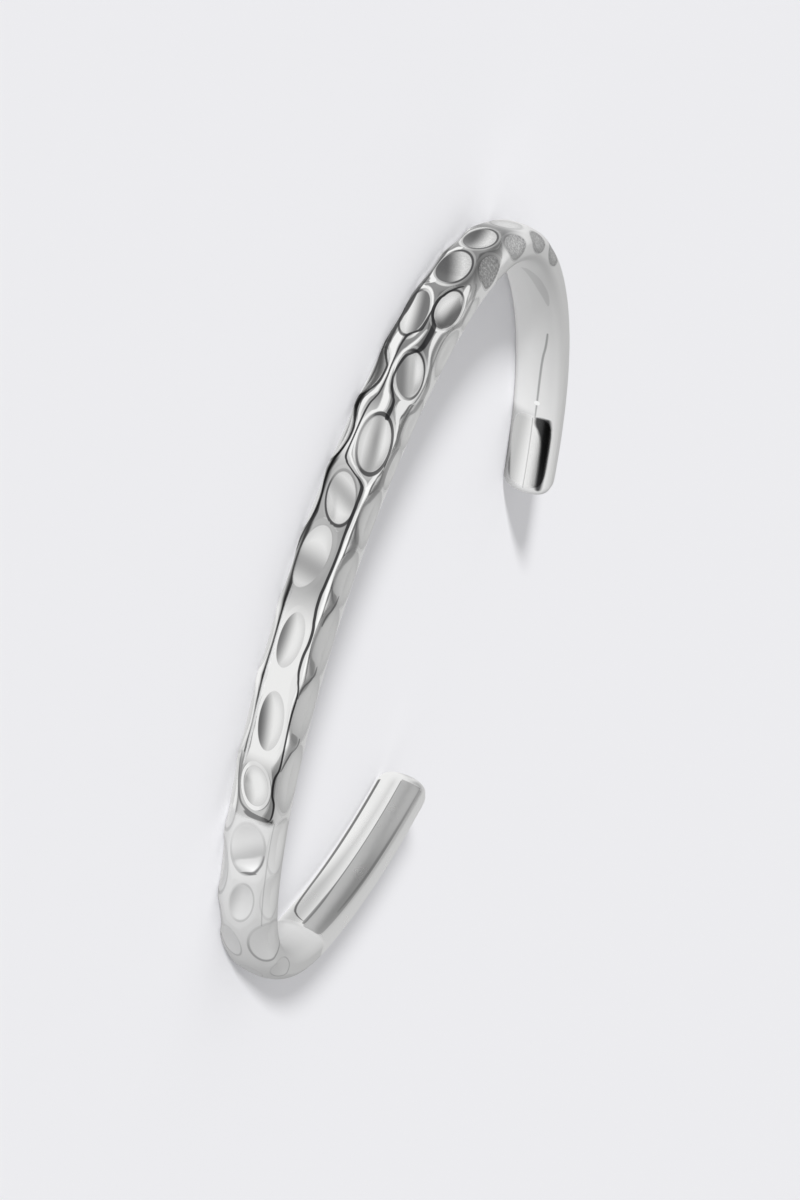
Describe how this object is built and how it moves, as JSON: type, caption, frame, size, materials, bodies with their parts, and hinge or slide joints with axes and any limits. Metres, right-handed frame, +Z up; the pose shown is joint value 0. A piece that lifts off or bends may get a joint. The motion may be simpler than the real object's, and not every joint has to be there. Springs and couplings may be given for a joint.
{
  "type": "open bangle",
  "caption": "Open oval cuff bangle, one bent bar of rounded D section, its back hammered with oval cups and its arms plain with rounded tips.",
  "frame": {"origin": "under the middle of the bangle's box, on the surface that it lies on", "axes": "+Z up, square to the plane of the loop; X along the loop's long axis, with the shorter arm at +X; the closed back faces -Y and the opening faces +Y"},
  "size_m": [0.064, 0.0562, 0.0047],
  "materials": {
    "polished_silver": "bright polished silver, with softer satin metal in the hammered cups"
  },
  "bodies": {
    "root": {"cuff": "polished_silver"}
  },
  "joints": []
}
